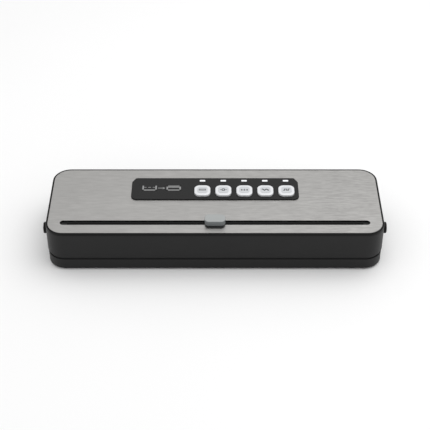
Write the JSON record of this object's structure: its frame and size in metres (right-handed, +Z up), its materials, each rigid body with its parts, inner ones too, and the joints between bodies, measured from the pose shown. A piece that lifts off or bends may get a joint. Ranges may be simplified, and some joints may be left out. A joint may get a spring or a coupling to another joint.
{
  "type": "vacuum sealer",
  "caption": "Low countertop vacuum sealer: hinged lid with brushed steel top, key panel, sliding bag cutter, side release buttons, heat seal bar and gasketed vacuum chamber.",
  "frame": {"origin": "centre of the sealer's plan outline, on the surface it stands on", "axes": "+X to the user's right along the sealer's length, +Y towards the hinge at the back, +Z up"},
  "size_m": [0.3882, 0.119, 0.0611],
  "materials": {
    "black_plastic": "fine satin moulded ABS",
    "bezel_plastic": "semi-gloss",
    "brushed_steel": "brushed along X",
    "panel_plastic": "satin",
    "lens_white": "milky",
    "key_white": "satin with a polished edge",
    "knob_grey": "satin grey",
    "button_black": "satin",
    "gasket_foam": "closed-cell foam",
    "silicone_red": "matt silicone",
    "foot_rubber": "matt",
    "zinc_steel": "zinc plated",
    "spring_steel": "bright wire",
    "blade_steel": "ground",
    "heater_alloy": "rolled strip",
    "ptfe_brown": "PTFE coated glass cloth",
    "phenolic_brown": "phenolic",
    "inner_black": "nylon",
    "board_green": "solder mask",
    "led_body": "LED package",
    "motor_can": "zinc plated can",
    "hose_silicone": "translucent silicone",
    "valve_body": "nylon",
    "transformer_core": "laminations and varnish",
    "pin_brass": "bright",
    "wire_red": "PVC insulation"
  },
  "bodies": {
    "base": {"base_tray": "black_plastic", "bottom_cover": "black_plastic", "rubber_feet": "foot_rubber", "lower_gasket": "gasket_foam", "silicone_strip": "silicone_red", "hinge_pins": "zinc_steel", "latch_catches": "zinc_steel", "base_screws": "zinc_steel"},
    "lid": {"lid_housing": "black_plastic", "top_bezel": "bezel_plastic", "steel_top_plate": "brushed_steel", "control_panel": "panel_plastic", "indicator_lenses": "lens_white", "lid_liner": "black_plastic", "upper_gasket": "gasket_foam", "heater_bar": "phenolic_brown", "heating_element": "heater_alloy", "ptfe_tape": "ptfe_brown", "cutter_rails": "inner_black", "control_board": "board_green", "key_switches": "inner_black", "indicator_leds": "led_body", "board_screws": "zinc_steel", "pump_motor": "motor_can", "pump_head": "inner_black", "pump_strap": "zinc_steel", "vacuum_hose": "hose_silicone", "release_valve": "valve_body", "power_board": "board_green", "transformer": "transformer_core", "power_inlet": "inner_black", "inlet_pins": "pin_brass", "lid_switches": "inner_black", "wire_harness": "wire_red", "liner_screws": "zinc_steel", "latch_spring_left": "spring_steel", "latch_spring_right": "spring_steel"},
    "cutter": {"cutter_knob": "knob_grey", "cutter_shoe": "inner_black", "cutter_carriage": "inner_black", "cutter_blade": "blade_steel"},
    "release_left": {"release_button_left": "button_black", "latch_hook_left": "zinc_steel"},
    "release_right": {"release_button_right": "button_black", "latch_hook_right": "zinc_steel"},
    "seal_key_body": {"seal_key": "key_white"},
    "dry_key_body": {"dry_key": "key_white"},
    "moist_key_body": {"moist_key": "key_white"},
    "gentle_key_body": {"gentle_key": "key_white"},
    "pulse_key_body": {"pulse_key": "key_white"}
  },
  "joints": [
    {"name": "lid_hinge", "type": "hinge", "parent": "base", "child": "lid", "pos_m": [0, 0.0554, 0.01725], "axis": [-1, 0, 0], "range_deg": [0, 75]},
    {"name": "cutter_slide", "type": "slide", "parent": "lid", "child": "cutter", "axis": [1, 0, 0], "range_m": [-0.16, 0.16]},
    {"name": "release_left_press", "type": "slide", "parent": "lid", "child": "release_left", "axis": [1, 0, 0], "range_m": [0, 0.003], "stiffness_N_per_m": 400, "springref_m": -0.004, "deforming": ["latch_spring_left"]},
    {"name": "release_right_press", "type": "slide", "parent": "lid", "child": "release_right", "axis": [-1, 0, 0], "range_m": [0, 0.003], "stiffness_N_per_m": 400, "springref_m": -0.004, "deforming": ["latch_spring_right"]},
    {"name": "seal_key_press", "type": "slide", "parent": "lid", "child": "seal_key_body", "axis": [0, 0, -1], "range_m": [0, 0.0008], "stiffness_N_per_m": 400, "springref_m": -0.001},
    {"name": "dry_key_press", "type": "slide", "parent": "lid", "child": "dry_key_body", "axis": [0, 0, -1], "range_m": [0, 0.0008], "stiffness_N_per_m": 400, "springref_m": -0.001},
    {"name": "moist_key_press", "type": "slide", "parent": "lid", "child": "moist_key_body", "axis": [0, 0, -1], "range_m": [0, 0.0008], "stiffness_N_per_m": 400, "springref_m": -0.001},
    {"name": "gentle_key_press", "type": "slide", "parent": "lid", "child": "gentle_key_body", "axis": [0, 0, -1], "range_m": [0, 0.0008], "stiffness_N_per_m": 400, "springref_m": -0.001},
    {"name": "pulse_key_press", "type": "slide", "parent": "lid", "child": "pulse_key_body", "axis": [0, 0, -1], "range_m": [0, 0.0008], "stiffness_N_per_m": 400, "springref_m": -0.001}
  ]
}
